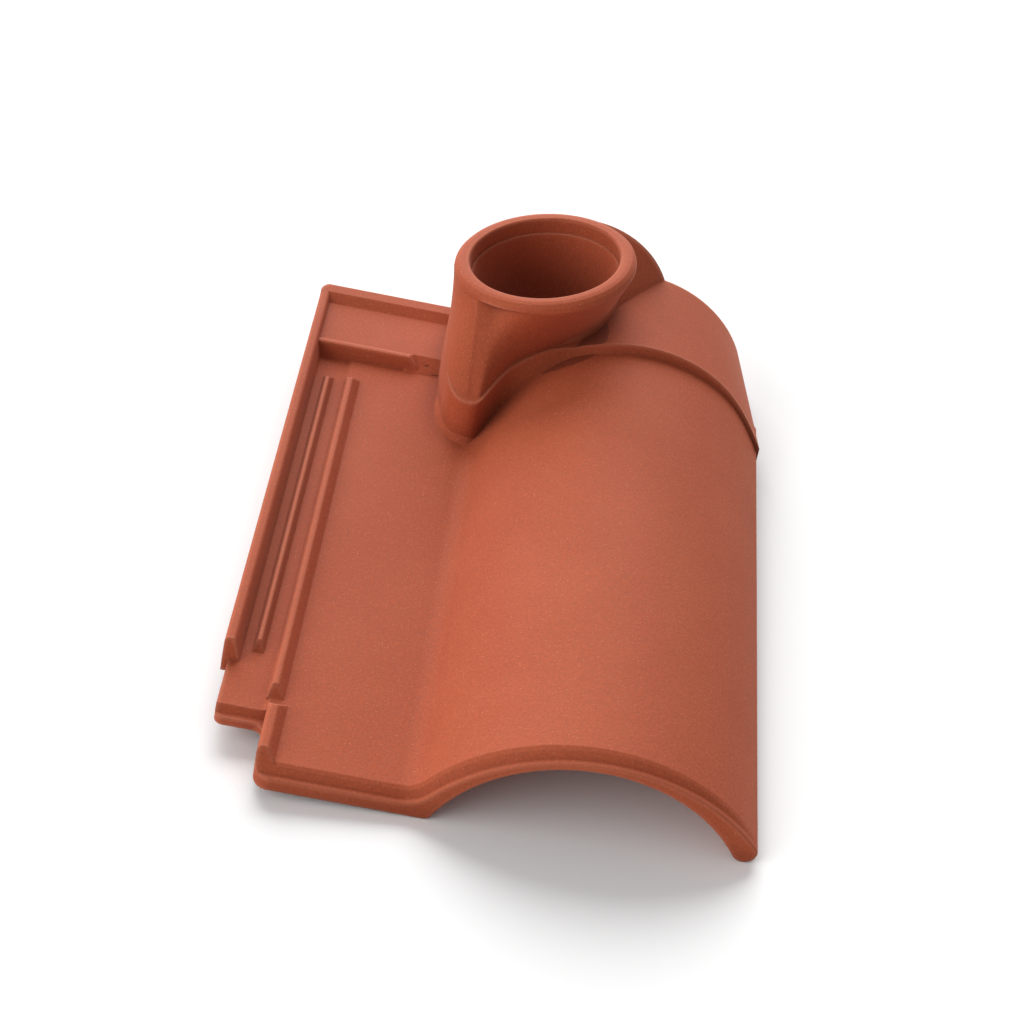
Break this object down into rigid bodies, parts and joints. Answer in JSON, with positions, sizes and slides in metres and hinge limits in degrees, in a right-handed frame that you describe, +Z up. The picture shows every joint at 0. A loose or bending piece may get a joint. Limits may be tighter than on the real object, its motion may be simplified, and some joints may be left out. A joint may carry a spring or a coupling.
{
  "type": "roof tile vent",
  "caption": "Interlocking clay roof tile with a flat pan, a barrel roll and a raised round collar at the head that takes a vent pipe or cowl.",
  "frame": {"origin": "centre of the bounding box in plan, on the ground plane that the tile rests on", "axes": "+Y from the eaves edge to the head, +X from the side lock to the barrel roll, +Z up, with the tile lying on flat ground on its crease, its foot and its nib"},
  "size_m": [0.2908, 0.449, 0.1159],
  "materials": {
    "terracotta": "unglazed fired clay, matte, fine sandy grain"
  },
  "bodies": {
    "root": {"vent_tile": "terracotta"}
  },
  "joints": []
}
